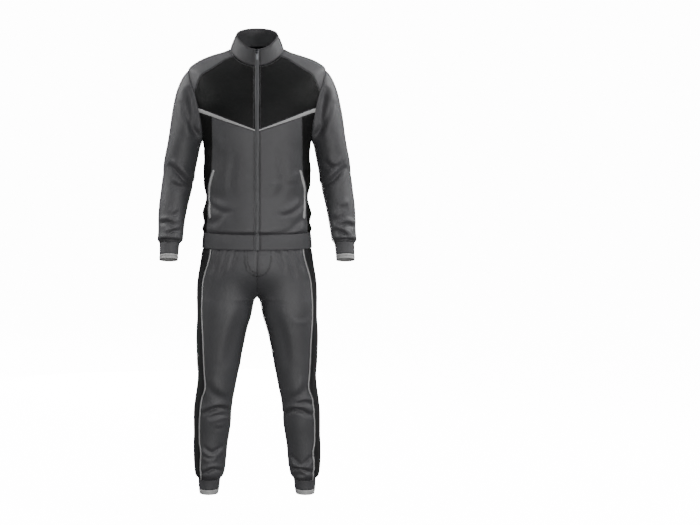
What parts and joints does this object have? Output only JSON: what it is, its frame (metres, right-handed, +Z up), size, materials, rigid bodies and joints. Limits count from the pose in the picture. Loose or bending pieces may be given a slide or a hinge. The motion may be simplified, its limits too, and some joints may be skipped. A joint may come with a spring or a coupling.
{
  "type": "tracksuit",
  "caption": "Zip-up track jacket and tapered track trousers, worn form with no wearer, hollow, open at neck, cuffs and ankles; the zip's pull tab swings.",
  "frame": {"origin": "midway between the wearer's two shoulder points, where the jacket hangs on the shoulders", "axes": "+Z up, the front faces -Y, +X is the wearer's left"},
  "size_m": [0.6386, 0.254, 1.5138],
  "materials": {
    "grey_knit": "smooth polyester interlock knit, matt with a faint sheen",
    "black_knit": "smooth polyester interlock knit, slight sheen",
    "light_trim": "light grey satin-faced knit binding",
    "grey_rib": "rib knit",
    "zip_tape": "woven polyester tape with coil teeth",
    "zip_metal": "plated zinc, satin"
  },
  "bodies": {
    "suit": {"shoulder_front_left": "grey_knit", "shoulder_front_right": "grey_knit", "front_left": "grey_knit", "front_right": "grey_knit", "back": "grey_knit", "collar": "grey_knit", "sleeve_left": "grey_knit", "sleeve_right": "grey_knit", "trouser_front_left": "grey_knit", "trouser_front_right": "grey_knit", "trouser_back_left": "grey_knit", "trouser_back_right": "grey_knit", "chest_yoke_left": "black_knit", "chest_yoke_right": "black_knit", "side_left": "black_knit", "side_right": "black_knit", "back_yoke": "black_knit", "sleeve_cap_left": "black_knit", "sleeve_cap_right": "black_knit", "side_stripe_left": "black_knit", "side_stripe_right": "black_knit", "chest_piping_left": "light_trim", "chest_piping_right": "light_trim", "back_stripe_left": "light_trim", "back_stripe_right": "light_trim", "sleeve_stripe_left": "light_trim", "sleeve_stripe_right": "light_trim", "cuff_edge_left": "light_trim", "cuff_edge_right": "light_trim", "leg_piping_front_left": "light_trim", "leg_piping_front_right": "light_trim", "leg_piping_back_left": "light_trim", "leg_piping_back_right": "light_trim", "ankle_edge_left": "light_trim", "ankle_edge_right": "light_trim", "pocket_welt_left": "light_trim", "pocket_welt_right": "light_trim", "cuff_left": "grey_rib", "cuff_right": "grey_rib", "ankle_cuff_left": "grey_rib", "ankle_cuff_right": "grey_rib", "hem_band": "grey_rib", "waistband": "grey_rib", "zip_tape_left": "zip_tape", "zip_tape_right": "zip_tape", "zip_slider": "zip_metal"},
    "pull": {"zip_pull": "zip_metal"}
  },
  "joints": [
    {"name": "pull_swing", "type": "hinge", "parent": "suit", "child": "pull", "pos_m": [0, -0.07672, 0.0245], "axis": [-1, 0, 0], "range_deg": [0, 160]}
  ]
}
